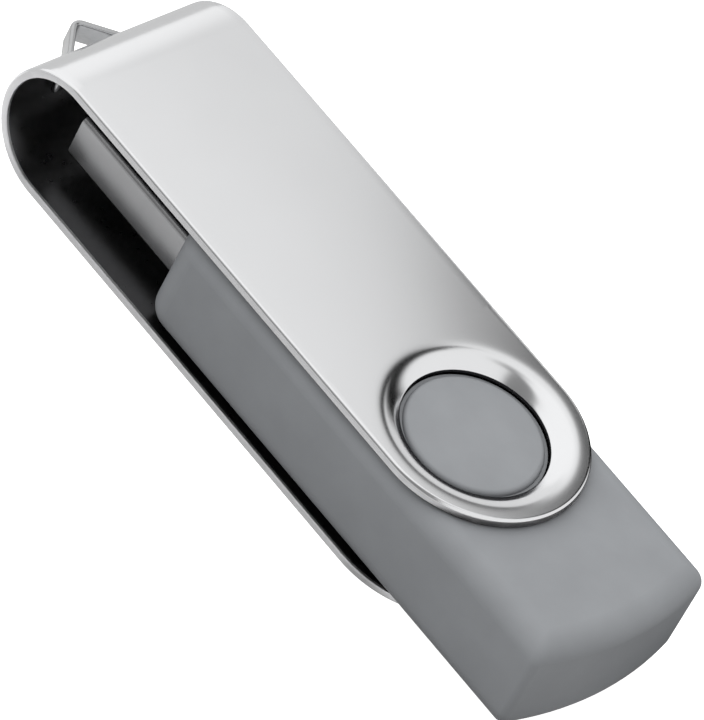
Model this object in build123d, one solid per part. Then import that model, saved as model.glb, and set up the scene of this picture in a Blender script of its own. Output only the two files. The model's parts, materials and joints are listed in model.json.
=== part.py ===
from build123d import *
import math
import os

# USB flash drive with a swivelling sheet-metal cover. Lengths are in millimetres.
#
# Every shape is drawn about the pivot: the pivot axis is the Z axis, the XY plane is the middle of the
# drive's thickness, +X points to the body's free end and -X to the plug. save() then moves it into the
# part's own frame, whose origin is the middle of the underside of the whole closed drive.

# Swivel cover: one strip of sheet steel folded into a U, with a rolled-in hole in each arm.
COVER_WIDTH = 19.0
COVER_THICKNESS = 12.5  # over both arms
SHEET = 0.8
PIVOT_TO_BEND = 47.1  # pivot axis to the outside of the fold
SHEET_EDGE_RADIUS = 0.2
HOLE_RADIUS = 6.36
ROLL_START_RADIUS = 8.4  # where the flat arm starts to roll down into the hole
ROLL_DROP = 1.09  # how far the hole's rim lies below the flat arm
LIP_DEPTH = 0.7  # height of the hole's wall

# Key loop: a narrow strip bent into a triangle, with two feet spread inside the fold.
LOOP_REACH = 2.85  # how far the loop stands out of the fold
LOOP_HEIGHT = 2.3
LOOP_SHEET = 0.55
LOOP_EDGE_RADIUS = 0.24
LOOP_BASE_HALF = 2.75
LOOP_TIP_RADIUS = 0.72
LOOP_FOOT = 2.2
LOOP_BEND_RADIUS = 0.35
SLOT_CLEARANCE = 0.05

# Plastic body: two shells that meet at mid thickness.
BODY_WIDTH = 19.0
BODY_THICKNESS = 10.6
PIVOT_TO_FRONT = 27.0  # pivot axis to the face that the plug comes out of
PIVOT_TO_END = 20.7  # pivot axis to the middle of the curved free end
END_ARC_RADIUS = 32.0
FRONT_CORNER_RADIUS = 2.6
END_CORNER_RADIUS = 0.75
BODY_EDGE_RADIUS = 2.0
WALL = 1.3
BOSS_RADIUS = 6.0
BOSS_TOP = 5.18
BOSS_EDGE_RADIUS = 0.45
RUNNING_CLEARANCE = 0.08
SHOULDER_TOP = 4.8
GROOVE_RADIUS = 8.5
GROOVE_FLOOR = 4.3
GROOVE_WALL = 1.2

# Inside the shells: locating posts, rails under the board, ribs over it and a clamp on the plug.
POST_RADIUS = 1.1
PIN_RADIUS = 0.6
PIN_LENGTH = 1.6
SOCKET_CLEARANCE = 0.05
SOCKET_DEPTH = 2.0
POSTS = [(-23.5, 7.6), (-23.5, -7.6), (17.0, 5.8), (17.0, -5.8)]
RIB_EMBED = 0.2  # ribs start this far inside the wall they stand on
RAIL_Y = 6.2
RAIL_WIDTH = 0.8
RAIL_SETBACK = 1.0  # from the board's rear edge
HOLD_DOWN_Y = 6.6
HOLD_DOWN_WIDTH = 0.6
HOLD_DOWN_SPANS = [(-18.0, -15.0), (9.5, 13.0)]
CLAMP_SPAN = (-24.6, -23.0)
CLAMP_HALF_WIDTH = 5.0

# Plug: a standard type-A shell, which sits below the middle of the body's thickness.
PLUG_WIDTH = 12.0
PLUG_HEIGHT = 4.5
PLUG_SHEET = 0.3
PLUG_Z = -1.3
PLUG_TIP = -41.4
PLUG_LENGTH = 19.4
PLUG_CORNER_RADIUS = 0.6
PLUG_FIT = 0.05
MOUTH_DEPTH = 11.9
SEAM_WIDTH = 0.08
WINDOW_LENGTH = 2.5
WINDOW_WIDTH = 2.0
WINDOW_SETBACK = 6.3
WINDOW_HALF_SPACING = 3.0
LEG_ROOT = 1.0  # how far a leg overlaps the shell it grows from
LEG_LENGTH = 2.8
LEG_TOP = -0.1
LEG_BOTTOM = -2.9
TONGUE_SETBACK = 0.38
TONGUE_CHAMFER = 0.25
TONGUE_REAR_GAP = 0.2

# Contact blades on the plug's tongue.
CONTACT_WIDTH = 1.0
CONTACT_SHEET = 0.25
CONTACT_PROUD = 0.05
CONTACT_HOOK = 0.5
CONTACT_TAIL_X = -19.6
OUTER_CONTACT_Y = 3.5
INNER_CONTACT_Y = 1.0
OUTER_CONTACT_SETBACK = 1.2
INNER_CONTACT_SETBACK = 2.2
CONTACT_CLEARANCE = 0.03

# Circuit board and its components.
BOARD_TOP = -1.55
BOARD_SHEET = 0.8
BOARD_FRONT = -21.8
BOARD_END = 15.8
BOARD_WIDTH = 14.0
BOARD_CORNER_RADIUS = 1.0
NOTCH_HALF_WIDTH = 0.3
NOTCH_END_GAP = 0.2
STANDOFF = 0.05
CHIP_CHAMFER = 0.12
DIMPLE_RADIUS = 0.5
DIMPLE_DEPTH = 0.1
DIMPLE_INSET = 1.2
LEAD_SHEET = 0.13
LEAD_WIDTH = 0.22
LEAD_PITCH = 0.5
FLASH_X = 3.5
FLASH_LENGTH = 18.4
FLASH_WIDTH = 12.0
FLASH_HEIGHT = 1.0
FLASH_LEADS_PER_END = 24
CONTROLLER_X = -13.5
CONTROLLER_Y = -1.5
CONTROLLER_SIDE = 7.0
CONTROLLER_HEIGHT = 1.4
CONTROLLER_LEADS_PER_SIDE = 12
LEAD_REACH = 0.9
KNEE_SHARE = 0.3  # where a lead turns down, as a share of its reach
ANKLE_SHARE = 0.45  # where it turns flat again
CRYSTAL_X = -13.0
CRYSTAL_Y = 5.2
CRYSTAL_SIZE = (3.2, 2.5, 0.5)
CRYSTAL_LID = (2.7, 2.0, 0.3)
CRYSTAL_LID_RADIUS = 0.3
PASSIVE_LENGTH = 1.6
PASSIVE_WIDTH = 0.8
PASSIVE_END = 0.25
CAPACITOR_HEIGHT = 0.8
RESISTOR_HEIGHT = 0.45
CAPACITOR_PLACES = [(-7.75, y) for y in (-5.2, -2.6, 0.0, 2.6, 5.2)]
RESISTOR_PLACES = [(-17.5, y) for y in (-3.0, 0.0, 3.0)]
REGULATOR_X = -13.5
REGULATOR_LENGTH = 1.3
REGULATOR_WIDTH = 2.9
REGULATOR_HEIGHT = 1.0
REGULATOR_CHAMFER = 0.1
REGULATOR_LEAD_REACH = 0.55
REGULATOR_LEAD_HALF = 0.2
REGULATOR_LEADS = [(-1, -0.95), (-1, 0.95), (1, 0.0)]  # side of the package, and place along it

COVER_HALF = COVER_THICKNESS / 2
BEND_X = COVER_HALF - PIVOT_TO_BEND
BODY_HALF = BODY_THICKNESS / 2
OVERALL_FRONT = -PIVOT_TO_BEND - LOOP_REACH
PIVOT_X = -(OVERALL_FRONT + PIVOT_TO_END) / 2
BOARD_BOTTOM = BOARD_TOP - BOARD_SHEET
PLUG_REAR = PLUG_TIP + PLUG_LENGTH
TONGUE_TOP = BOARD_TOP + CONTACT_SHEET - CONTACT_PROUD
CAVITY_HALF = BODY_HALF - WALL
CEILING_UNDER_GROOVE = GROOVE_FLOOR - GROOVE_WALL
RIB_ROOT = CAVITY_HALF + RIB_EMBED
NEAR = 0.01  # tolerance for picking out edges by their place


def save(name, shape):
    """Writes one sub-part in the part's own frame."""
    solids = shape.solids()
    whole = solids[0] if len(solids) == 1 else Compound(children=list(solids))
    export_step(Pos(PIVOT_X, 0, COVER_HALF) * whole, f"parts/{name}.step")


def block(x0, x1, y0, y1, z0, z1):
    """A box given by its low and high corners."""
    middle = Pos((x0 + x1) / 2, (y0 + y1) / 2, (z0 + z1) / 2)
    return middle * Box(x1 - x0, y1 - y0, z1 - z0)


def disc(radius, z0, z1, x=0.0, y=0.0):
    """An upright cylinder from z0 to z1."""
    return Pos(x, y, (z0 + z1) / 2) * Cylinder(radius, z1 - z0)


def both_faces(shape):
    """The shape and its mirror image on the drive's other face."""
    return shape + mirror(shape, Plane.XY)


# ---------------------------------------------------------------- swivel cover


def folded_strip():
    """The U of the cover, seen from the side, pulled across its width."""
    reach = COVER_WIDTH / 2 - BEND_X
    inner_height = COVER_THICKNESS - 2 * SHEET
    arms = Pos(BEND_X + reach / 2, 0)
    profile = arms * Rectangle(reach, COVER_THICKNESS) + Pos(BEND_X, 0) * Circle(COVER_HALF)
    hollow = arms * Rectangle(reach, inner_height) + Pos(BEND_X, 0) * Circle(inner_height / 2)
    pulled = extrude(Plane.XZ * (profile - hollow), COVER_WIDTH / 2, both=True)
    return pulled & cover_plan()


def cover_plan():
    """Seen from above, the cover is a strip with a half-round end about the pivot."""
    strip = Pos(-PIVOT_TO_BEND / 2, 0) * Rectangle(PIVOT_TO_BEND, COVER_WIDTH)
    return extrude(strip + Circle(COVER_WIDTH / 2), COVER_HALF, both=True)


def rolled_rim():
    """The rim of the upper arm's hole: the sheet rolls down from the flat arm to the hole's wall."""
    run = ROLL_START_RADIUS - HOLE_RADIUS
    outer_roll = (run**2 + ROLL_DROP**2) / (2 * ROLL_DROP)
    inner_roll = outer_roll - SHEET
    centre_z = COVER_HALF - outer_roll
    rim_z = COVER_HALF - ROLL_DROP
    lip_z = rim_z - LIP_DEPTH
    lip_r = ROLL_START_RADIUS - math.sqrt(inner_roll**2 - (lip_z - centre_z) ** 2)

    def on_roll(radius, angle):
        turn = math.radians(angle)
        return ROLL_START_RADIUS - radius * math.sin(turn), centre_z + radius * math.cos(turn)

    rim_angle = math.degrees(math.asin(run / outer_roll))
    lip_angle = math.degrees(math.acos((lip_z - centre_z) / inner_roll))
    top_start = (ROLL_START_RADIUS, COVER_HALF)
    under_start = (ROLL_START_RADIUS, COVER_HALF - SHEET)
    rim = (HOLE_RADIUS, rim_z)
    edges = Curve() + [
        ThreePointArc(top_start, on_roll(outer_roll, rim_angle / 2), rim),
        Polyline(rim, (HOLE_RADIUS, lip_z), (lip_r, lip_z)),
        ThreePointArc((lip_r, lip_z), on_roll(inner_roll, lip_angle / 2), under_start),
        Line(under_start, top_start),
    ]
    return revolve(Plane.XZ * make_face(edges), Axis.Z)


def loop_slots():
    """The two slots in the fold that the key loop's legs pass through."""
    half = LOOP_SHEET / 2 + SLOT_CLEARANCE
    height = LOOP_HEIGHT / 2 + SLOT_CLEARANCE
    slots = []
    for side in (-1, 1):
        y = side * LOOP_BASE_HALF
        slots.append(block(-PIVOT_TO_BEND - SHEET, BEND_X, y - half, y + half, -height, height))
    return slots


def swivel_cover():
    strip = folded_strip()
    outline = strip.edges().filter_by(lambda edge: abs(abs(edge.center().Z) - COVER_HALF) < NEAR)
    outline += strip.edges().filter_by(lambda edge: edge.center().X < BEND_X - SHEET)
    strip = fillet(outline, SHEET_EDGE_RADIUS)
    strip -= disc(ROLL_START_RADIUS, -COVER_THICKNESS, COVER_THICKNESS)
    strip += both_faces(rolled_rim())
    for slot in loop_slots():
        strip -= slot
    return strip


def key_loop():
    """A round-edged strip swept along its own centre line: foot, leg, rounded tip, leg, foot."""
    tip_x = OVERALL_FRONT + LOOP_SHEET / 2 - LOOP_TIP_RADIUS * (math.sqrt(2) - 1)
    kink_x = tip_x + LOOP_BASE_HALF
    inner_half = COVER_HALF - SHEET
    foot_face = BEND_X - math.sqrt(inner_half**2 - (LOOP_HEIGHT / 2) ** 2)
    foot_x = foot_face + SLOT_CLEARANCE + LOOP_SHEET / 2
    foot_y = LOOP_BASE_HALF + LOOP_FOOT
    upper = [(foot_x, foot_y), (foot_x, LOOP_BASE_HALF), (kink_x, LOOP_BASE_HALF)]
    lower = [(x, -y) for x, y in reversed(upper)]
    radii = [LOOP_BEND_RADIUS, LOOP_BEND_RADIUS, LOOP_TIP_RADIUS, LOOP_BEND_RADIUS, LOOP_BEND_RADIUS]
    path = FilletPolyline(*upper, (tip_x, 0), *lower, radius=radii)
    start = Plane(path @ 0, x_dir=(0, 0, 1), z_dir=path % 0)
    section = start * RectangleRounded(LOOP_HEIGHT, LOOP_SHEET, LOOP_EDGE_RADIUS)
    return sweep(section, path)


# ---------------------------------------------------------------- plastic body


def body_outline():
    """The body seen from above: straight sides and front, and a shallow arc at the free end."""
    half = BODY_WIDTH / 2
    sagitta = END_ARC_RADIUS - math.sqrt(END_ARC_RADIUS**2 - half**2)
    corner_x = PIVOT_TO_END - sagitta
    edges = Curve() + [
        Line((corner_x, half), (-PIVOT_TO_FRONT, half)),
        Line((-PIVOT_TO_FRONT, half), (-PIVOT_TO_FRONT, -half)),
        Line((-PIVOT_TO_FRONT, -half), (corner_x, -half)),
        ThreePointArc((corner_x, -half), (PIVOT_TO_END, 0), (corner_x, half)),
    ]
    outline = make_face(edges)
    outline = fillet(outline.vertices().group_by(Axis.X)[0], FRONT_CORNER_RADIUS)
    return fillet(outline.vertices().group_by(Axis.X)[-1], END_CORNER_RADIUS)


def body_block():
    """The whole outside of the body, with its edges rounded, before the shells are parted."""
    solid = extrude(body_outline(), BODY_HALF, both=True)
    rims = solid.edges().filter_by(lambda edge: abs(abs(edge.center().Z) - BODY_HALF) < NEAR)
    return fillet(rims, BODY_EDGE_RADIUS)


def cavity():
    """The room inside the shells, shallower where the cover's rims are sunk into both faces."""
    room = extrude(offset(body_outline(), -WALL), CAVITY_HALF, both=True)
    floor = disc(GROOVE_RADIUS + GROOVE_WALL, CEILING_UNDER_GROOVE, CAVITY_HALF)
    floor -= disc(BOSS_RADIUS - GROOVE_WALL, CEILING_UNDER_GROOVE, CAVITY_HALF)
    return room - both_faces(floor)


def pivot_recess():
    """The ring-shaped groove around the upper boss, as the solid to cut away."""
    ring = disc(GROOVE_RADIUS, GROOVE_FLOOR, BODY_HALF)
    boss = disc(BOSS_RADIUS, GROOVE_FLOOR, BOSS_TOP)
    boss = fillet(boss.edges().filter_by(GeomType.CIRCLE).sort_by(Axis.Z)[-1], BOSS_EDGE_RADIUS)
    shoulder = disc(HOLE_RADIUS - RUNNING_CLEARANCE, GROOVE_FLOOR, SHOULDER_TOP)
    return ring - boss - shoulder


def plug_opening():
    """The hole in the body's front wall for the plug."""
    half_width = PLUG_WIDTH / 2 + PLUG_FIT
    half_height = PLUG_HEIGHT / 2 + PLUG_FIT
    return block(
        -PIVOT_TO_FRONT - WALL, -PIVOT_TO_FRONT + 2 * WALL,
        -half_width, half_width, PLUG_Z - half_height, PLUG_Z + half_height,
    )


def hollow_body():
    return body_block() - cavity() - both_faces(pivot_recess()) - plug_opening()


def upper_shell():
    """The upper half: locating pins, ribs that hold the board down, and a rib over the plug."""
    half = block(-PIVOT_TO_END * 2, PIVOT_TO_END * 2, -BODY_WIDTH, BODY_WIDTH, 0, BODY_THICKNESS)
    shell = hollow_body() & half
    for x, y in POSTS:
        shell += disc(POST_RADIUS, 0, RIB_ROOT, x, y)
        shell += disc(PIN_RADIUS, -PIN_LENGTH, RIB_ROOT, x, y)
    for x0, x1 in HOLD_DOWN_SPANS:
        for side in (-1, 1):
            y = side * HOLD_DOWN_Y
            half_rib = HOLD_DOWN_WIDTH / 2
            shell += block(x0, x1, y - half_rib, y + half_rib, BOARD_TOP, RIB_ROOT)
    plug_top = PLUG_Z + PLUG_HEIGHT / 2
    shell += block(*CLAMP_SPAN, -CLAMP_HALF_WIDTH, CLAMP_HALF_WIDTH, plug_top, RIB_ROOT)
    return shell


def lower_shell():
    """The lower half: sockets for the pins, rails under the board, and a pad under the plug."""
    half = block(-PIVOT_TO_END * 2, PIVOT_TO_END * 2, -BODY_WIDTH, BODY_WIDTH, -BODY_THICKNESS, 0)
    shell = hollow_body() & half
    rail_front = PLUG_REAR + LEG_LENGTH + RAIL_SETBACK
    rail_rear = BOARD_END - RAIL_SETBACK
    for side in (-1, 1):
        y = side * RAIL_Y
        half_rail = RAIL_WIDTH / 2
        shell += block(rail_front, rail_rear, y - half_rail, y + half_rail, -RIB_ROOT, BOARD_BOTTOM)
    for x, y in POSTS:
        shell += disc(POST_RADIUS, -RIB_ROOT, 0, x, y)
        shell -= disc(PIN_RADIUS + SOCKET_CLEARANCE, -SOCKET_DEPTH, 0, x, y)
    plug_bottom = PLUG_Z - PLUG_HEIGHT / 2
    shell += block(*CLAMP_SPAN, -CLAMP_HALF_WIDTH, CLAMP_HALF_WIDTH, -RIB_ROOT, plug_bottom)
    return shell


# ---------------------------------------------------------------- plug


def plug_tube(inset, corner_radius):
    """A rounded rectangular bar along the plug, smaller than its outside by inset all round."""
    section = RectangleRounded(PLUG_WIDTH - 2 * inset, PLUG_HEIGHT - 2 * inset, corner_radius)
    at_tip = Plane(origin=(PLUG_TIP, 0, PLUG_Z), x_dir=(0, 1, 0), z_dir=(1, 0, 0))
    return extrude(at_tip * section, PLUG_LENGTH)


def plug_shell():
    """The folded steel shell, with its seam underneath, four latch windows and two solder legs."""
    shell = plug_tube(0, PLUG_CORNER_RADIUS) - plug_tube(PLUG_SHEET, PLUG_CORNER_RADIUS - PLUG_SHEET)
    half_seam = SEAM_WIDTH / 2
    shell -= block(PLUG_TIP, PLUG_REAR, -half_seam, half_seam, PLUG_Z - PLUG_HEIGHT, PLUG_Z)
    window_x = PLUG_TIP + WINDOW_SETBACK
    for side in (-1, 1):
        window = Pos(window_x, side * WINDOW_HALF_SPACING, PLUG_Z)
        shell -= window * Box(WINDOW_WIDTH, WINDOW_LENGTH, 2 * PLUG_HEIGHT)
        outside = side * PLUG_WIDTH / 2
        inside = outside - side * PLUG_SHEET
        y0, y1 = sorted((outside, inside))
        shell += block(PLUG_REAR - LEG_ROOT, PLUG_REAR + LEG_LENGTH, y0, y1, LEG_BOTTOM, LEG_TOP)
    return shell


def contact_rows():
    """Name, place across the plug and setback of the front end, for each of the four contacts."""
    return [
        ("contact_vbus", -OUTER_CONTACT_Y, OUTER_CONTACT_SETBACK),
        ("contact_data_minus", -INNER_CONTACT_Y, INNER_CONTACT_SETBACK),
        ("contact_data_plus", INNER_CONTACT_Y, INNER_CONTACT_SETBACK),
        ("contact_ground", OUTER_CONTACT_Y, OUTER_CONTACT_SETBACK),
    ]


def contact_blade(y, setback, clearance=0.0):
    """A flat blade along the tongue's face with its front end hooked down into the tongue."""
    front = PLUG_TIP + setback - clearance
    half = CONTACT_WIDTH / 2 + clearance
    top = BOARD_TOP + CONTACT_SHEET + clearance
    blade = block(front, CONTACT_TAIL_X, y - half, y + half, BOARD_TOP, top)
    hook_rear = front + CONTACT_SHEET + 2 * clearance
    blade += block(front, hook_rear, y - half, y + half, BOARD_TOP - CONTACT_HOOK - clearance, BOARD_TOP)
    return blade


def plug_tongue():
    """The moulded insulator: a tongue that carries the contacts, and a block that fills the rear."""
    half_width = PLUG_WIDTH / 2 - PLUG_SHEET - PLUG_FIT
    half_height = PLUG_HEIGHT / 2 - PLUG_SHEET - PLUG_FIT
    low = PLUG_Z - half_height
    rear = PLUG_REAR - TONGUE_REAR_GAP
    tongue = block(PLUG_TIP + TONGUE_SETBACK, rear, -half_width, half_width, low, TONGUE_TOP)
    tongue += block(PLUG_TIP + MOUTH_DEPTH, rear, -half_width, half_width, low, PLUG_Z + half_height)
    corners = tongue.edges().filter_by(Axis.Z) + tongue.edges().filter_by(Axis.X)
    corners = corners.filter_by(lambda edge: abs(edge.center().Y) > half_width - NEAR)
    tongue = chamfer(corners, TONGUE_CHAMFER)
    for _, y, setback in contact_rows():
        tongue -= contact_blade(y, setback, CONTACT_CLEARANCE)
    return tongue


# ---------------------------------------------------------------- board and components


def circuit_board():
    """The board, notched at its front corners for the plug's solder legs."""
    half = BOARD_WIDTH / 2
    board = block(BOARD_FRONT, BOARD_END, -half, half, BOARD_BOTTOM, BOARD_TOP)
    leg_y = (PLUG_WIDTH - PLUG_SHEET) / 2
    notch_end = PLUG_REAR + LEG_LENGTH + NOTCH_END_GAP
    for side in (-1, 1):
        y = side * leg_y
        board -= block(
            BOARD_FRONT, notch_end, y - NOTCH_HALF_WIDTH, y + NOTCH_HALF_WIDTH, BOARD_BOTTOM, BOARD_TOP
        )
    rear_corners = board.edges().filter_by(Axis.Z).group_by(Axis.X)[-1]
    return fillet(rear_corners, BOARD_CORNER_RADIUS)


def chip(length, width, height, x, y):
    """A moulded package with a pin-one dimple, standing just clear of the board."""
    low = BOARD_TOP + STANDOFF
    package = block(x - length / 2, x + length / 2, y - width / 2, y + width / 2, low, low + height)
    package = chamfer(package.edges().group_by(Axis.Z)[-1], CHIP_CHAMFER)
    dimple_x = x - length / 2 + DIMPLE_INSET
    dimple_y = y - width / 2 + DIMPLE_INSET
    dimple = disc(DIMPLE_RADIUS, low + height - DIMPLE_DEPTH, low + height, dimple_x, dimple_y)
    return package - dimple


def gull_wing(body_half, height):
    """One lead, drawn on the XZ plane: out of the package, down to the board and out to its toe."""
    mid = BOARD_TOP + STANDOFF + height / 2
    knee = body_half + KNEE_SHARE * LEAD_REACH
    ankle = body_half + ANKLE_SHARE * LEAD_REACH
    toe = body_half + LEAD_REACH
    foot_top = BOARD_TOP + LEAD_SHEET
    side = make_face(
        Polyline(
            (body_half, mid), (knee, mid), (ankle + LEAD_SHEET, foot_top), (toe, foot_top),
            (toe, BOARD_TOP), (ankle, BOARD_TOP), (knee - LEAD_SHEET, mid - LEAD_SHEET),
            (body_half, mid - LEAD_SHEET), close=True,
        )
    )
    return extrude(Plane.XZ * side, LEAD_WIDTH / 2, both=True)


def lead_row(count, body_half, height):
    """A row of leads on the package's +X side."""
    lead = gull_wing(body_half, height)
    first = -(count - 1) / 2 * LEAD_PITCH
    return [Pos(0, first + i * LEAD_PITCH, 0) * lead for i in range(count)]


def flash_leads():
    row = lead_row(FLASH_LEADS_PER_END, FLASH_LENGTH / 2, FLASH_HEIGHT)
    rows = [Pos(FLASH_X, 0, 0) * Rot(0, 0, turn) * lead for turn in (0, 180) for lead in row]
    return Compound(children=rows)


def controller_leads():
    row = lead_row(CONTROLLER_LEADS_PER_SIDE, CONTROLLER_SIDE / 2, CONTROLLER_HEIGHT)
    place = Pos(CONTROLLER_X, CONTROLLER_Y, 0)
    rows = [place * Rot(0, 0, turn) * lead for turn in (0, 90, 180, 270) for lead in row]
    return Compound(children=rows)


def crystal_base():
    length, width, height = CRYSTAL_SIZE
    return Pos(CRYSTAL_X, CRYSTAL_Y, BOARD_TOP + height / 2) * Box(length, width, height)


def crystal_lid():
    length, width, height = CRYSTAL_LID
    lid = Pos(CRYSTAL_X, CRYSTAL_Y, BOARD_TOP + CRYSTAL_SIZE[2] + height / 2) * Box(length, width, height)
    return fillet(lid.edges().filter_by(Axis.Z), CRYSTAL_LID_RADIUS)


def passive_bodies(places, height, z0):
    """The ceramic middles of two-terminal chips that lie across the board."""
    half = PASSIVE_LENGTH / 2 - PASSIVE_END
    width = PASSIVE_WIDTH / 2
    bodies = [block(x - width, x + width, y - half, y + half, z0, z0 + height) for x, y in places]
    return Compound(children=bodies)


def passive_ends(places, height, z0):
    """The tinned ends of the same chips."""
    half = PASSIVE_LENGTH / 2
    width = PASSIVE_WIDTH / 2
    ends = []
    for x, y in places:
        ends.append(block(x - width, x + width, y - half, y - half + PASSIVE_END, z0, z0 + height))
        ends.append(block(x - width, x + width, y + half - PASSIVE_END, y + half, z0, z0 + height))
    return Compound(children=ends)


def regulator():
    """The supply regulator's package, under the board."""
    middle = Pos(REGULATOR_X, 0, BOARD_BOTTOM - STANDOFF - REGULATOR_HEIGHT / 2)
    package = middle * Box(REGULATOR_LENGTH, REGULATOR_WIDTH, REGULATOR_HEIGHT)
    return chamfer(package.edges().group_by(Axis.Z)[0], REGULATOR_CHAMFER)


def regulator_leads():
    """Its three leads, each an arm out of the package and a tip up to the board."""
    mid = BOARD_BOTTOM - STANDOFF - REGULATOR_HEIGHT / 2
    leads = []
    for side, y in REGULATOR_LEADS:
        root = REGULATOR_X + side * REGULATOR_LENGTH / 2
        toe = root + side * REGULATOR_LEAD_REACH
        y0, y1 = y - REGULATOR_LEAD_HALF, y + REGULATOR_LEAD_HALF
        arm = block(min(root, toe), max(root, toe), y0, y1, mid - LEAD_SHEET, mid)
        tip_root = toe - side * LEAD_SHEET
        tip = block(min(tip_root, toe), max(tip_root, toe), y0, y1, mid, BOARD_BOTTOM)
        leads.append(arm + tip)
    return Compound(children=leads)


# ---------------------------------------------------------------- files


def main():
    os.makedirs("parts", exist_ok=True)
    save("swivel_cover", swivel_cover())
    save("key_loop", key_loop())
    save("upper_shell", upper_shell())
    save("lower_shell", lower_shell())
    save("plug_shell", plug_shell())
    save("plug_tongue", plug_tongue())
    for name, y, setback in contact_rows():
        save(name, contact_blade(y, setback))
    save("circuit_board", circuit_board())
    save("flash_chip", chip(FLASH_LENGTH, FLASH_WIDTH, FLASH_HEIGHT, FLASH_X, 0))
    save("flash_chip_leads", flash_leads())
    side = CONTROLLER_SIDE
    save("controller_chip", chip(side, side, CONTROLLER_HEIGHT, CONTROLLER_X, CONTROLLER_Y))
    save("controller_chip_leads", controller_leads())
    save("crystal_base", crystal_base())
    save("crystal_lid", crystal_lid())
    save("capacitor_bodies", passive_bodies(CAPACITOR_PLACES, CAPACITOR_HEIGHT, BOARD_TOP))
    save("capacitor_ends", passive_ends(CAPACITOR_PLACES, CAPACITOR_HEIGHT, BOARD_TOP))
    under = BOARD_BOTTOM - RESISTOR_HEIGHT
    save("resistor_bodies", passive_bodies(RESISTOR_PLACES, RESISTOR_HEIGHT, under))
    save("resistor_ends", passive_ends(RESISTOR_PLACES, RESISTOR_HEIGHT, under))
    save("regulator", regulator())
    save("regulator_leads", regulator_leads())


main()
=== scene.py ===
import json
import math

import bmesh
import bpy
from mathutils import Matrix, Vector


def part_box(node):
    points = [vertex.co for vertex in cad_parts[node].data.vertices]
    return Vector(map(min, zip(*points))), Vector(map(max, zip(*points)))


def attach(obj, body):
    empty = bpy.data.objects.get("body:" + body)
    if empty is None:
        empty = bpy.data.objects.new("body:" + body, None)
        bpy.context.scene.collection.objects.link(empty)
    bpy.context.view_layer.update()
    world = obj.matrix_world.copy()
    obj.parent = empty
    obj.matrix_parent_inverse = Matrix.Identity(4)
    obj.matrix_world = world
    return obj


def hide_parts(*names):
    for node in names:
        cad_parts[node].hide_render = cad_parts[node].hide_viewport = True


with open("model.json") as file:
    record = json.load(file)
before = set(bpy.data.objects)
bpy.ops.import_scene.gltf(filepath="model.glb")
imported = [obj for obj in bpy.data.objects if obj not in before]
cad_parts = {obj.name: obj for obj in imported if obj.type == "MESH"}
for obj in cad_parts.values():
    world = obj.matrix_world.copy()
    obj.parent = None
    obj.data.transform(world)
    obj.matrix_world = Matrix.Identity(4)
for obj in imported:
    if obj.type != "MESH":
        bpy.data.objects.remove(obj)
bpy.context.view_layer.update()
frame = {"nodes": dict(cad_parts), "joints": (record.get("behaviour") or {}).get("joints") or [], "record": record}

# A USB flash drive with a swivelling sheet-metal cover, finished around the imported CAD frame.
#
# Shapes are drawn in millimetres about the pivot: its axis is Z, +X points to the body's free end and
# -X to the plug. PIVOT carries them into the row frame, which is in metres.

MM = 0.001
WELD = 1e-6
PIVOT = Vector(frame["joints"][0]["pos_m"])
NOISE_LOW = 0.3  # the usual range of a noise value
NOISE_HIGH = 0.7


# ---------------------------------------------------------------- node helpers


def new_material(name):
    """An empty node material, with its shader already wired to the output."""
    material = bpy.data.materials.new(name)
    material.use_nodes = True
    return material, material.node_tree, material.node_tree.nodes["Principled BSDF"]


def object_point(tree):
    """The shaded point in the object's own space, in metres."""
    return tree.nodes.new("ShaderNodeTexCoord").outputs["Object"]


def place_mm(tree):
    """The shaded point's X, Y and Z in millimetres from the pivot, for an object left at the origin."""
    place = tree.nodes.new("ShaderNodeSeparateXYZ")
    tree.links.new(object_point(tree), place.inputs[0])
    return [math_node(tree, "MULTIPLY_ADD", place.outputs[i], 1 / MM, -PIVOT[i] / MM) for i in range(3)]


def ray_is(tree, kind):
    """1 for rays of one kind, such as Camera or Glossy."""
    return tree.nodes.new("ShaderNodeLightPath").outputs[f"Is {kind} Ray"]


def noise(tree, size_mm, detail=3.0, stretch=(1, 1, 1)):
    """A noise value whose blobs are about size_mm across, drawn out along the axes by stretch."""
    mapping = tree.nodes.new("ShaderNodeMapping")
    mapping.inputs["Scale"].default_value = [1 / (size_mm * MM * s) for s in stretch]
    tree.links.new(object_point(tree), mapping.inputs["Vector"])
    texture = tree.nodes.new("ShaderNodeTexNoise")
    texture.inputs["Scale"].default_value = 1.0
    texture.inputs["Detail"].default_value = detail
    tree.links.new(mapping.outputs["Vector"], texture.inputs["Vector"])
    return texture.outputs["Fac"]


def spread(tree, value, low, high):
    """Maps a noise value's usual range to low..high."""
    node = tree.nodes.new("ShaderNodeMapRange")
    node.inputs["From Min"].default_value = NOISE_LOW
    node.inputs["From Max"].default_value = NOISE_HIGH
    node.inputs["To Min"].default_value = low
    node.inputs["To Max"].default_value = high
    tree.links.new(value, node.inputs["Value"])
    return node.outputs["Result"]


def tint(tree, value, dark, light):
    """A colour between dark and light, chosen by a noise value."""
    node = tree.nodes.new("ShaderNodeMix")
    node.data_type = "RGBA"
    node.inputs["A"].default_value = (*dark, 1)
    node.inputs["B"].default_value = (*light, 1)
    tree.links.new(spread(tree, value, 0, 1), node.inputs["Factor"])
    return node.outputs["Result"]


def bump(tree, height, depth_mm):
    """A normal roughened by a height value."""
    node = tree.nodes.new("ShaderNodeBump")
    node.inputs["Strength"].default_value = 1.0
    node.inputs["Distance"].default_value = depth_mm * MM
    tree.links.new(height, node.inputs["Height"])
    return node.outputs["Normal"]


def math_node(tree, operation, *values):
    """A math node on values or sockets."""
    node = tree.nodes.new("ShaderNodeMath")
    node.operation = operation
    for i, value in enumerate(values):
        if isinstance(value, (int, float)):
            node.inputs[i].default_value = value
        else:
            tree.links.new(value, node.inputs[i])
    return node.outputs["Value"]


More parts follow.
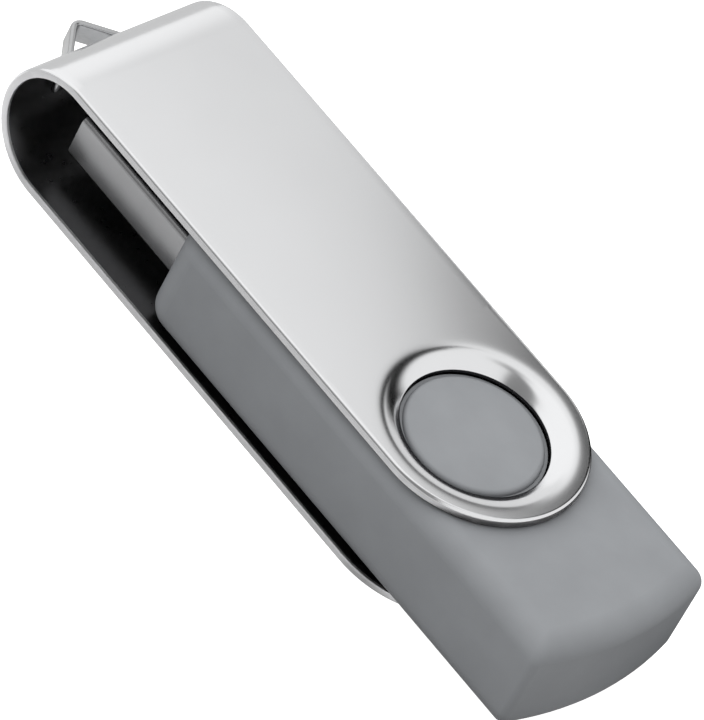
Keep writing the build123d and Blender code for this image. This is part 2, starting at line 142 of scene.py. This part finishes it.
def ease(tree, value, start, end):
    """0 before start, 1 after end, and smooth between them."""
    node = tree.nodes.new("ShaderNodeMapRange")
    node.interpolation_type = "SMOOTHSTEP"
    node.inputs["From Min"].default_value = start
    node.inputs["From Max"].default_value = end
    tree.links.new(value, node.inputs["Value"])
    return node.outputs["Result"]


def shades(colour, change):
    """A slightly darker and a slightly lighter version of a colour."""
    return [c * (1 - change) for c in colour], [c * (1 + change) for c in colour]


# ---------------------------------------------------------------- materials


def cover_steel():
    """Stainless sheet, blasted to a fine satin."""
    material, tree, shader = new_material("cover_steel")
    dark, light = shades((0.86, 0.865, 0.875), 0.012)
    clouds = noise(tree, 9, detail=2)
    grain = noise(tree, 0.05, detail=2)
    shader.inputs["Metallic"].default_value = 1.0
    tree.links.new(tint(tree, clouds, dark, light), shader.inputs["Base Color"])
    tree.links.new(spread(tree, clouds, 0.17, 0.19), shader.inputs["Roughness"])
    tree.links.new(bump(tree, grain, 0.0004), shader.inputs["Normal"])
    return material


PLASTIC_SHINE = 0.5
PAINTED_SHADE_REACH = 4.0  # how far from other surfaces the painted shade reaches, in millimetres
PAINTED_SHADE_DEPTH = 0.5  # the share of its colour that the painted shade can take away
PAINTED_DARK_REFLECTION = (0.02, 0.02, 0.022)  # painted dark reflection: the plastic's colour for mirrored rays, so the cover and plug show it nearly black


def with_painted_crease_shade(tree, colour):
    """A colour darkened where other surfaces stand close by: painted shade in creases and recesses."""
    near = tree.nodes.new("ShaderNodeAmbientOcclusion")
    near.inputs["Distance"].default_value = PAINTED_SHADE_REACH * MM
    shade = tree.nodes.new("ShaderNodeVectorMath")
    shade.operation = "SCALE"
    share = math_node(tree, "MULTIPLY_ADD", near.outputs["AO"], PAINTED_SHADE_DEPTH, 1 - PAINTED_SHADE_DEPTH)
    tree.links.new(colour, shade.inputs["Vector"])
    tree.links.new(share, shade.inputs["Scale"])
    return shade.outputs["Vector"]


def body_plastic():
    """Grey plastic out of a finely sparked mould, with painted shade in its creases and a painted dark reflection.
    """
    material, tree, shader = new_material("body_plastic")
    dark, light = shades((0.28, 0.291, 0.306), 0.04)
    clouds = noise(tree, 4, detail=3)
    grain = noise(tree, 0.12, detail=2)
    # Painted dark reflection: for mirrored rays the plastic's colour turns nearly black and its shine goes.
    mirrored = tree.nodes.new("ShaderNodeMix")
    mirrored.data_type = "RGBA"
    mirrored.inputs["B"].default_value = (*PAINTED_DARK_REFLECTION, 1)
    tree.links.new(ray_is(tree, "Glossy"), mirrored.inputs["Factor"])
    tree.links.new(with_painted_crease_shade(tree, tint(tree, clouds, dark, light)), mirrored.inputs["A"])
    tree.links.new(mirrored.outputs["Result"], shader.inputs["Base Color"])
    shine = math_node(tree, "MULTIPLY_ADD", ray_is(tree, "Glossy"), -PLASTIC_SHINE, PLASTIC_SHINE)
    tree.links.new(shine, shader.inputs["Specular IOR Level"])
    tree.links.new(spread(tree, grain, 0.5, 0.6), shader.inputs["Roughness"])
    tree.links.new(bump(tree, grain, 0.004), shader.inputs["Normal"])
    return material


def plug_steel():
    """Nickel-plated steel, dull from the barrel, with faint rolling lines along the plug."""
    material, tree, shader = new_material("plug_steel")
    dark, light = shades((0.42, 0.423, 0.43), 0.04)
    lines = noise(tree, 0.08, detail=2, stretch=(25, 1, 1))
    clouds = noise(tree, 2.5, detail=3)
    shader.inputs["Metallic"].default_value = 1.0
    tree.links.new(tint(tree, clouds, dark, light), shader.inputs["Base Color"])
    tree.links.new(spread(tree, clouds, 0.22, 0.26), shader.inputs["Roughness"])
    tree.links.new(bump(tree, lines, 0.0003), shader.inputs["Normal"])
    return material


def plain_material(name, colour, change, roughness, grain_mm, depth_mm, metallic, coat):
    """A material with cloudy colour and roughness and a fine grain."""
    material, tree, shader = new_material(name)
    dark, light = shades(colour, change)
    duller, shinier = (1 + DULLNESS_CHANGE) * roughness, (1 - DULLNESS_CHANGE) * roughness
    clouds = noise(tree, CLOUD_TO_GRAIN * grain_mm, detail=3)
    grain = noise(tree, grain_mm, detail=2)
    shader.inputs["Metallic"].default_value = metallic
    shader.inputs["Coat Weight"].default_value = coat
    tree.links.new(tint(tree, clouds, dark, light), shader.inputs["Base Color"])
    tree.links.new(spread(tree, clouds, shinier, duller), shader.inputs["Roughness"])
    tree.links.new(bump(tree, grain, depth_mm), shader.inputs["Normal"])
    return material


CLOUD_TO_GRAIN = 8  # how much wider the clouds of a plain material are than its grain
DULLNESS_CHANGE = 0.1
# Name, colour and how much it varies, roughness, grain width and depth in millimetres, metal, clear coat.
PLAIN_MATERIALS = [
    # loop_steel is darker than the cover's steel: painted shade for the loop's inside, which the fold shades.
    ("loop_steel", (0.5, 0.505, 0.51), 0.04, 0.2, 0.08, 0.0006, 1.0, 0.0),
    ("cut_edge", (0.8, 0.8, 0.81), 0.05, 0.45, 0.15, 0.003, 1.0, 0.0),
    # cover_inside is far darker than the cover's steel: painted shade inside the fold.
    ("cover_inside", (0.2, 0.2, 0.205), 0.04, 0.3, 0.1, 0.0001, 1.0, 0.0),
    ("tongue_plastic", (0.012, 0.012, 0.013), 0.1, 0.45, 0.1, 0.003, 0.0, 0.0),
    ("contact_gold", (0.83, 0.6, 0.26), 0.04, 0.25, 0.05, 0.0005, 1.0, 0.0),
    ("board_laminate", (0.012, 0.11, 0.045), 0.15, 0.35, 0.3, 0.004, 0.0, 0.4),
    ("chip_epoxy", (0.018, 0.018, 0.02), 0.1, 0.55, 0.08, 0.004, 0.0, 0.0),
    ("tinned_leads", (0.72, 0.72, 0.73), 0.05, 0.35, 0.05, 0.001, 1.0, 0.0),
    ("ceramic", (0.2, 0.14, 0.09), 0.1, 0.4, 0.08, 0.002, 0.0, 0.0),
]
MATERIALS = {"cover_steel": cover_steel(), "body_plastic": body_plastic(), "plug_steel": plug_steel()}
MATERIALS |= {row[0]: plain_material(*row) for row in PLAIN_MATERIALS}


def finish_cad_nodes():
    """Gives every CAD node the material of its slot in the record."""
    for row in frame["record"]["subparts"]:
        node = frame["nodes"][row["node"]]
        node.data.materials.clear()
        node.data.materials.append(MATERIALS[row["material_slot"]])


# ---------------------------------------------------------------- mesh helpers


def from_pivot(node):
    """Low and high corners of a CAD node, in millimetres from the pivot."""
    low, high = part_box(node)
    return (low - PIVOT) / MM, (high - PIVOT) / MM


def grid(rows, closed=False, flip=False, material=0):
    """A part made of quads between rows of points; closed joins each row's ends."""
    count = len(rows[0])
    points = [point for row in rows for point in row]
    faces = []
    for i in range(len(rows) - 1):
        for j in range(count if closed else count - 1):
            k = (j + 1) % count
            quad = [i * count + j, i * count + k, (i + 1) * count + k, (i + 1) * count + j]
            faces.append(quad[::-1] if flip else quad)
    return points, faces, material


def piece(name, parts, body, node, materials):
    """One object from parts drawn in millimetres about the pivot, welded where they meet.

    A part is its points, its faces, and the place of its material in the list."""
    shape = bmesh.new()
    for points, faces, number in parts:
        corners = [shape.verts.new(PIVOT + MM * Vector(point)) for point in points]
        for face in faces:
            shape.faces.new([corners[i] for i in face]).material_index = number
    bmesh.ops.remove_doubles(shape, verts=shape.verts, dist=WELD)
    mesh = bpy.data.meshes.new(name)
    shape.to_mesh(mesh)
    shape.free()
    mesh.shade_smooth()
    obj = bpy.data.objects.new(name, mesh)
    bpy.context.scene.collection.objects.link(obj)
    for material in materials:
        mesh.materials.append(MATERIALS[material])
    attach(obj, body)
    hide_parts(node)
    return obj


def even_shading(obj):
    """Keeps flats flat where they run into small roundings."""
    obj.modifiers.new("shading", "WEIGHTED_NORMAL")


def arc(centre, radius, start, end, steps):
    """Points on an arc in a plane, from one angle to another in degrees, both ends included."""
    angles = [math.radians(start + (end - start) * i / steps) for i in range(steps + 1)]
    return [(centre[0] + radius * math.cos(a), centre[1] + radius * math.sin(a)) for a in angles]


def rounded_rectangle(width, height, radius, steps=5):
    """The outline of a rectangle with round corners about the origin."""
    outline = []
    x, y = width / 2 - radius, height / 2 - radius
    for cx, cy, start in [(x, y, 0), (-x, y, 90), (-x, -y, 180), (x, -y, 270)]:
        outline += arc((cx, cy), radius, start, start + 90, steps)
    return outline


def spaced(start, end, steps):
    """Evenly spaced values from start to end, both included."""
    return [start + (end - start) * i / steps for i in range(steps + 1)]


# ---------------------------------------------------------------- swivel cover


COVER_MATERIALS = ["cover_steel", "cut_edge", "cover_inside"]
OUTSIDE, CUT, INSIDE = range(3)  # their places in the list

# How many steps each stretch of the cover is drawn in.
END_STEPS = 60  # round the arm's end
SIDE_STEPS = 12  # from the pivot's line to where the end band begins
ACROSS_STEPS = 24  # across the strip
ARM_STEPS = 8  # from the arm's edge to its dish
DISH_STEPS = 20  # down the dish on the outside, and half as many on the inside
RIM_STEPS = 4
BAND_STEPS = 14  # from the arm to the fold
FOLD_STEPS = 40  # round the fold
EDGE_STEPS = 5  # round the outside edge
BURR_STEPS = 3  # round the inside edge

SHEET = 0.8
EDGE_RADIUS = 0.3  # of the outside edges; the inside ones have BURR_RADIUS
BURR_RADIUS = 0.1
HOLE_RADIUS = 6.36
DISH_START = 9.0  # distance from the pivot where the arm's rings become round
# The arm sinks towards the hole in two soft steps: distance from the pivot where the slope is half
# developed, how gradually it develops, and its fall over run.
DISH = (7.95, 0.24, 0.42)
RIM = (7.1, 0.2, 0.4)
RIM_RADIUS = 0.15
LIP_FOOT = 4.46  # height of the foot of the hole's wall over the middle plane


def sag(radius):
    """How far the arm has sunk below its own flat at a distance from the pivot."""
    return sum(
        slope * width * math.log1p(math.exp((knee - radius) / width)) for knee, width, slope in (DISH, RIM)
    )


def outside_profile(top):
    """Radius and height of the arm's outside, from the start of the dish to the foot of the hole's wall."""
    tilt = math.atan(DISH[2] + RIM[2])
    last = HOLE_RADIUS + RIM_RADIUS * (1 - math.sin(tilt))
    dish = [(radius, top - sag(radius)) for radius in spaced(DISH_START, last, DISH_STEPS)]
    centre = (HOLE_RADIUS + RIM_RADIUS, dish[-1][1] - RIM_RADIUS * math.cos(tilt))
    rim = arc(centre, RIM_RADIUS, 90 + math.degrees(tilt), 180, RIM_STEPS)
    return dish + rim[1:] + [(HOLE_RADIUS, LIP_FOOT)]


def inside_profile(top):
    """The same for the arm's inside."""
    wall = HOLE_RADIUS + SHEET
    radii = spaced(DISH_START, wall, DISH_STEPS // 2)
    dish = [(radius, top - SHEET - sag(radius)) for radius in radii]
    return dish + [(wall, LIP_FOOT)]


def arm_outline(edge, back):
    """The arm's edge counter-clockwise from the near side, round its end, and back along the far side."""
    end = arc((0, 0), edge, -90, 90, END_STEPS)
    sides = spaced(0, back, SIDE_STEPS)[1:]
    return [(x, -edge) for x in sides[::-1]] + end + [(x, edge) for x in sides]


def arm_face(outline, across, profile, height):
    """Rings from an arm's edge to its hole, as rows of points on the upper arm."""
    edge = outline + [(outline[-1][0], y) for y in across[-2:0:-1]]
    angles = [math.atan2(y, x) for x, y in edge]
    rings = []
    for share in spaced(0, 1, ARM_STEPS)[:-1]:
        ring = []
        for (x, y), angle in zip(edge, angles):
            x += share * (DISH_START * math.cos(angle) - x)
            y += share * (DISH_START * math.sin(angle) - y)
            ring.append((x, y, height - sag(math.hypot(x, y))))
        rings.append(ring)
    for radius, z in profile:
        rings.append([(radius * math.cos(angle), radius * math.sin(angle), z) for angle in angles])
    return rings


def fold_rows(across, back, fold_x, radius):
    """Rows of points from the upper arm's back line round the fold to the lower arm's."""
    band = spaced(back, fold_x, BAND_STEPS)
    rows = [[(x, y, radius - sag(math.hypot(x, y))) for y in across] for x in band]
    turns = spaced(0, math.pi, FOLD_STEPS)[1:-1]
    bend = [[(fold_x - radius * math.sin(t), y, radius * math.cos(t)) for y in across] for t in turns]
    return rows + bend + upside_down(rows[::-1])


def upside_down(rows):
    """The same rows on the lower arm."""
    return [[(x, y, -z) for x, y, z in row] for row in rows]


def edge_band(outer_fold, inner_fold, outer_arm, inner_arm, count):
    """The rounded free edge all the way round the strip: round one arm, the fold and the other arm.

    count is how many points of each arm's first ring lie on its free edge. The outside rounding but for
    its last step is one part, and the flat with the inside rounding is another."""
    outer, inner = [
        arm[:count]
        + [row[-1] for row in fold[1:-1]]
        + upside_down([arm[:count]])[0][::-1]
        + [row[0] for row in fold[-2:0:-1]]
        for arm, fold in ((outer_arm, outer_fold), (inner_arm, inner_fold))
    ]
    turns = spaced(0, math.pi / 2, EDGE_STEPS)
    section = [(EDGE_RADIUS * math.sin(t), EDGE_RADIUS * (1 - math.cos(t))) for t in turns]
    rest = EDGE_RADIUS - BURR_RADIUS
    turns = spaced(math.pi / 2, 0, BURR_STEPS)
    section += [(rest + BURR_RADIUS * math.sin(t), SHEET - BURR_RADIUS * (1 - math.cos(t))) for t in turns]
    section.append((0, SHEET))
    rows = []
    for start, end in zip(map(Vector, outer), map(Vector, inner)):
        down = (end - start) / SHEET
        out = Vector((max(start.x, 0), start.y, 0)).normalized()
        rows.append([start + out * u + down * v for u, v in section])
    rows.append(rows[0])
    split = EDGE_STEPS - 1
    rolled = [row[: split + 1] for row in rows]
    flat = [row[split:] for row in rows]
    return [grid(rolled, material=OUTSIDE), grid(flat, material=CUT)]


def swivel_cover():
    """One sheet folded into a U, with a round hole in a dish at the end of each arm."""
    low, high = from_pivot("swivel_cover")
    top = high.z
    fold_x = low.x + top
    back = -high.y
    edge = high.y - EDGE_RADIUS
    across = spaced(-edge, edge, ACROSS_STEPS)
    outline = arm_outline(edge, back)
    outside = arm_face(outline, across, outside_profile(top), top)
    inside = arm_face(outline, across, inside_profile(top), top - SHEET)
    foot = [outside[-1], inside[-1]]
    outer_fold = fold_rows(across, back, fold_x, top)
    inner_fold = fold_rows(across, back, fold_x, top - SHEET)
    parts = [
        grid(outside, closed=True, material=OUTSIDE),
        grid(upside_down(outside), closed=True, flip=True, material=OUTSIDE),
        grid(outer_fold, material=OUTSIDE),
        grid(inside, closed=True, flip=True, material=INSIDE),
        grid(upside_down(inside), closed=True, material=INSIDE),
        grid(inner_fold, flip=True, material=INSIDE),
        grid(foot, closed=True, material=INSIDE),
        grid(upside_down(foot), closed=True, flip=True, material=INSIDE),
    ]
    parts += edge_band(outer_fold, inner_fold, outside[0], inside[0], len(outline))
    obj = piece("cover_sheet", parts, "cover", "swivel_cover", COVER_MATERIALS)
    even_shading(obj)


# ---------------------------------------------------------------- key loop


LOOP_SHEET = 0.55
LOOP_EDGE = 0.26
LOOP_HEIGHT = 2.3
LOOP_TIP_RADIUS = 0.72
LOOP_BEND_RADIUS = 0.35
LOOP_BASE_HALF = 2.75


def bent_path(corners, radii, steps=8):
    """A path in the XY plane through the corners, each rounded to its radius."""
    path = [corners[0]]
    for before, corner, after, radius in zip(corners, corners[1:], corners[2:], radii):
        into, out = (corner - before).normalized(), (after - corner).normalized()
        turn = into.angle_signed(out)
        side = math.copysign(1, turn)
        start = corner - into * radius * math.tan(abs(turn) / 2)
        centre = start + Vector((into.y, -into.x)) * radius * side
        for share in spaced(0, 1, steps):
            arm = start - centre
            arm.rotate(Matrix.Rotation(-turn * share, 2))
            path.append(centre + arm)
    return path + [corners[-1]]


def swept(path, section):
    """A section carried along a path in the XY plane, with both ends closed."""
    rings = []
    for i, point in enumerate(path):
        ahead = path[min(i + 1, len(path) - 1)] - path[max(i - 1, 0)]
        side = Vector((-ahead.y, ahead.x)).normalized()
        rings.append([(point.x + side.x * u, point.y + side.y * u, v) for u, v in section])
    points, faces, material = grid(rings, closed=True)
    count = len(section)
    ends = [list(range(count))[::-1], [len(points) - count + i for i in range(count)]]
    return points, faces + ends, material


def key_loop():
    """A round-edged strip: two feet inside the fold, two legs, and a rounded tip."""
    low, high = from_pivot("key_loop")
    tip_x = low.x + LOOP_SHEET / 2 - LOOP_TIP_RADIUS * (math.sqrt(2) - 1)
    foot_x = high.x - LOOP_SHEET / 2
    foot_y = high.y
    base = LOOP_BASE_HALF
    corners = [(foot_x, foot_y), (foot_x, base), (tip_x + base, base), (tip_x, 0)]
    corners += [(x, -y) for x, y in corners[-2::-1]]
    radii = [LOOP_BEND_RADIUS, LOOP_BEND_RADIUS, LOOP_TIP_RADIUS, LOOP_BEND_RADIUS, LOOP_BEND_RADIUS]
    path = bent_path([Vector(corner) for corner in corners], radii)
    section = rounded_rectangle(LOOP_SHEET, LOOP_HEIGHT, LOOP_EDGE)
    piece("loop_strip", [swept(path, section)], "cover", "key_loop", ["loop_steel"])


# ---------------------------------------------------------------- studio


FLOOR_HALF = 3.0  # in metres
FLOOR_GAP = 0.01  # under the drive, in millimetres
TOUCHING = 2.0  # rays shorter than this, in millimetres, don't see the floor
FLOOR_COLOUR = 0.55
FLOOR_CHANGE = 0.02  # how much its colour varies
PAPER_CLOUDS = 0.6  # in millimetres
# Parts of the floor, as X and Y soft edges in millimetres from the pivot, each (0 at, 1 at) twice.
SHADE_EDGES = (((-53.0, -45.0), (35.0, 20.0)), ((0.0, 12.0), (95.0, 75.0)))
GLOW_EDGES = (((-75.0, -60.0), (45.0, 30.0)), ((-20.0, -15.0), (6.0, -2.0)))
CONTACT_SHADOW_EDGES = (((-72.0, -54.0), (42.0, 24.0)), ((-30.0, -12.0), (30.0, 12.0)))
SHADE_COLOUR = 0.03  # painted shade that the metal mirrors behind the drive
GLOW = 0.35  # painted light: glow added in the mirrored strip along its near side
CONTACT_SHADOW_COLOUR = 0.06  # painted contact shadow: what dull surfaces see of the floor right beside the drive


def within(tree, place, edges, start):
    """start inside a soft-edged rectangle of the floor, fading to 0 outside it."""
    total = start
    for value, pairs in zip(place, edges):
        for zero, one in pairs:
            total = math_node(tree, "MULTIPLY", total, ease(tree, value, zero, one))
    return total


def seen_floor(tree):
    """0 from underneath and for rays from what rests on the floor, so that the underside shows."""
    below = tree.nodes.new("ShaderNodeNewGeometry").outputs["Backfacing"]
    length = tree.nodes.new("ShaderNodeLightPath").outputs["Ray Length"]
    touching = math_node(tree, "LESS_THAN", length, TOUCHING * MM)
    return math_node(tree, "SUBTRACT", 1.0, math_node(tree, "MAXIMUM", below, touching))


def floor():
    """A sheet of white paper under the drive, burnt out to white in the picture. The metal mirrors painted shade
    behind the drive and a painted glowing strip along its near side, and dull surfaces see a painted shadow beside
    it.
    """
    mesh = bpy.data.meshes.new("floor")
    corners = [(-1, -1), (1, -1), (1, 1), (-1, 1)]
    points = [(FLOOR_HALF * x, FLOOR_HALF * y, -FLOOR_GAP * MM) for x, y in corners]
    mesh.from_pydata(points, [], [(0, 1, 2, 3)])
    obj = bpy.data.objects.new("floor", mesh)
    bpy.context.scene.collection.objects.link(obj)
    material, tree, shader = new_material("floor")
    x, y, _ = place_mm(tree)
    # Painted shade: the floor behind the drive turns dark for mirrored rays.
    shade = within(tree, (x, y), SHADE_EDGES, ray_is(tree, "Glossy"))
    # Painted contact shadow: the floor beside the drive turns dark for the dull surfaces' rays.
    contact = within(tree, (x, y), CONTACT_SHADOW_EDGES, ray_is(tree, "Diffuse"))
    light, dark = (1 + FLOOR_CHANGE) * FLOOR_COLOUR, (1 - FLOOR_CHANGE) * FLOOR_COLOUR
    colour = spread(tree, noise(tree, PAPER_CLOUDS), dark, light)
    colour = math_node(tree, "MULTIPLY_ADD", shade, SHADE_COLOUR - FLOOR_COLOUR, colour)
    colour = math_node(tree, "MULTIPLY_ADD", contact, CONTACT_SHADOW_COLOUR - FLOOR_COLOUR, colour)
    tree.links.new(colour, shader.inputs["Base Color"])
    shader.inputs["Roughness"].default_value = 0.9
    shader.inputs["Specular IOR Level"].default_value = 0.0
    # Painted light: a strip along the near side glows for mirrored rays; the camera sees the whole floor plain
    # white.
    glow = within(tree, (x, y), GLOW_EDGES, ray_is(tree, "Glossy"))
    glow = math_node(tree, "MULTIPLY_ADD", glow, GLOW, ray_is(tree, "Camera"))
    tree.links.new(seen_floor(tree), shader.inputs["Alpha"])
    shader.inputs["Emission Color"].default_value = (1, 1, 1, 1)
    tree.links.new(glow, shader.inputs["Emission Strength"])
    obj.data.materials.append(material)


# The card, in millimetres from the pivot. A pair is a soft edge: clear at, dark at.
CARD_DISTANCE = 80.0  # towards +Y
CARD_X = (-150.0, 40.0)
CARD_FOOT = -6.0
CARD_TOP = 150.0
CARD_LEFT = (-26.0, -8.0)  # of its upright part
FOOT_LEFT = (-44.0, -28.0)  # and of the wider part low down
FOOT_TOP = (14.0, 0.0)
CARD_RIGHT = (28.0, 6.0)
ARM_MIDDLE = (-52.0, 92.0)  # a point on the slanting edge of its upper arm
ARM_SCALE = 30.0
ARM_SOFT = (-0.25, 0.95)  # across the slanting edge, in ARM_SCALEs
ARM_UNDERSIDE = (52.0, 74.0)
HAZE = 0.17  # a faint part over the whole card
HAZE_TOP = (108.0, 82.0)
HAZE_LEFT = (-140.0, -100.0)


def dark_card():
    """A soft-edged black card behind the drive, which only the shiny surfaces see: painted dark reflections."""
    x0, x1 = CARD_X
    corners = [(x0, CARD_FOOT), (x1, CARD_FOOT), (x1, CARD_TOP), (x0, CARD_TOP)]
    points = [PIVOT + MM * Vector((x, CARD_DISTANCE, z)) for x, z in corners]
    mesh = bpy.data.meshes.new("card")
    mesh.from_pydata(points, [], [(0, 1, 2, 3)])
    obj = bpy.data.objects.new("card", mesh)
    bpy.context.scene.collection.objects.link(obj)
    obj.visible_camera = False
    obj.visible_diffuse = False
    obj.visible_shadow = False
    material, tree, shader = new_material("card")
    x, _, z = place_mm(tree)
    slant = math_node(tree, "SUBTRACT", x, z)
    offset = ARM_MIDDLE[1] - ARM_MIDDLE[0]
    slant = math_node(tree, "MULTIPLY", math_node(tree, "ADD", slant, offset), 1 / ARM_SCALE)
    arm = math_node(tree, "MULTIPLY", ease(tree, slant, *ARM_SOFT), ease(tree, z, *ARM_UNDERSIDE))
    foot = math_node(tree, "MULTIPLY", ease(tree, x, *FOOT_LEFT), ease(tree, z, *FOOT_TOP))
    dark = math_node(tree, "MAXIMUM", arm, ease(tree, x, *CARD_LEFT))
    dark = math_node(tree, "MAXIMUM", dark, foot)
    haze = math_node(tree, "MULTIPLY", ease(tree, z, *HAZE_TOP), ease(tree, x, *HAZE_LEFT))
    dark = math_node(tree, "MAXIMUM", dark, math_node(tree, "MULTIPLY", haze, HAZE))
    dark = math_node(tree, "MULTIPLY", dark, ease(tree, x, *CARD_RIGHT))
    shader.inputs["Base Color"].default_value = (0, 0, 0, 1)
    shader.inputs["Specular IOR Level"].default_value = 0.0
    tree.links.new(dark, shader.inputs["Alpha"])
    mesh.materials.append(material)


# Soft panels that the metal mirrors: azimuth from and to, elevation from and to, softness of the rim,
# all in degrees, and brightness. Azimuth 0 is +Y and 90 is -X; elevation is above the horizon.
PANELS = [
    (-150, 150, -60, 84, 14, 0.65),
    (45, 145, -60, 84, 30, 0.13),
]
AMBIENT = 0.24  # everywhere
# The light that falls on dull surfaces: an even part, and a part that grows towards one side of the sky.
EVEN_LIGHT = 0.52
SIDE_LIGHT = 1.12
SIDE_DIRECTION = Vector((-0.6, 0.1, 0.8)).normalized()


def mirrored_room(tree, x, y, z):
    """Brightness of the room as the metal sees it, with a dim side behind the camera."""
    left = math_node(tree, "MULTIPLY", x, -1.0)
    azimuth = math_node(tree, "DEGREES", math_node(tree, "ARCTAN2", left, y))
    elevation = math_node(tree, "DEGREES", math_node(tree, "ARCSINE", z))
    total = AMBIENT
    for az0, az1, el0, el1, soft, strength in PANELS:
        half = soft / 2
        shape = ease(tree, azimuth, az0 - half, az0 + half)
        for value, start, end in [
            (azimuth, az1 + half, az1 - half),
            (elevation, el0 - half, el0 + half),
            (elevation, el1 + half, el1 - half),
        ]:
            shape = math_node(tree, "MULTIPLY", shape, ease(tree, value, start, end))
        total = math_node(tree, "ADD", total, math_node(tree, "MULTIPLY", shape, strength))
    return total


def falling_light(tree, x, y, z):
    """Brightness of the sky over the dull surfaces."""
    towards = math_node(tree, "MULTIPLY", x, SIDE_DIRECTION.x)
    towards = math_node(tree, "MULTIPLY_ADD", y, SIDE_DIRECTION.y, towards)
    towards = math_node(tree, "MULTIPLY_ADD", z, SIDE_DIRECTION.z, towards)
    towards = math_node(tree, "MAXIMUM", towards, 0.0)
    return math_node(tree, "MULTIPLY_ADD", towards, SIDE_LIGHT, EVEN_LIGHT)


def studio():
    """The room round the drive, which is not the same for mirrored and for falling light."""
    world = bpy.data.worlds.new("studio")
    bpy.context.scene.world = world
    world.use_nodes = True
    world.cycles.sampling_method = "NONE"
    tree = world.node_tree
    direction = tree.nodes.new("ShaderNodeSeparateXYZ")
    tree.links.new(tree.nodes.new("ShaderNodeTexCoord").outputs["Generated"], direction.inputs[0])
    x, y, z = (direction.outputs[axis] for axis in "XYZ")
    strength = tree.nodes.new("ShaderNodeMix")
    tree.links.new(ray_is(tree, "Diffuse"), strength.inputs["Factor"])
    tree.links.new(mirrored_room(tree, x, y, z), strength.inputs["A"])
    tree.links.new(falling_light(tree, x, y, z), strength.inputs["B"])
    total = math_node(tree, "MAXIMUM", strength.outputs["Result"], ray_is(tree, "Camera"))
    background = tree.nodes["Background"]
    background.inputs["Color"].default_value = (1, 1, 1, 1)
    tree.links.new(total, background.inputs["Strength"])


# The camera's direction from the drive, its roll, and its distance and its aim off the pivot along its own
# axes in millimetres.
CAMERA_AZIMUTH = math.radians(27.881)
CAMERA_ELEVATION = math.radians(44.601)
CAMERA_ROLL = math.radians(29.113)
CAMERA_DISTANCE = 700.0
CAMERA_AIM = (-7.876, 9.020)
CAMERA_LENS = 443.3


def camera():
    """A long lens that fills the picture with the drive."""
    a, e = CAMERA_AZIMUTH, CAMERA_ELEVATION
    back = Vector((math.sin(a) * math.cos(e), -math.cos(a) * math.cos(e), math.sin(e)))
    level = Vector((math.cos(a), math.sin(a), 0))
    upright = back.cross(level)
    right = level * math.cos(CAMERA_ROLL) + upright * math.sin(CAMERA_ROLL)
    up = upright * math.cos(CAMERA_ROLL) - level * math.sin(CAMERA_ROLL)
    place = PIVOT + MM * (back * CAMERA_DISTANCE + right * CAMERA_AIM[0] + up * CAMERA_AIM[1])
    data = bpy.data.cameras.new("camera")
    data.lens = CAMERA_LENS
    data.clip_start = 0.01
    data.clip_end = 10.0
    obj = bpy.data.objects.new("camera", data)
    bpy.context.scene.collection.objects.link(obj)
    obj.matrix_world = Matrix((right, up, back)).transposed().to_4x4()
    obj.location = place
    bpy.context.scene.camera = obj


bpy.context.scene.view_settings.view_transform = "Standard"
finish_cad_nodes()
swivel_cover()
key_loop()
floor()
dark_card()
studio()
camera()
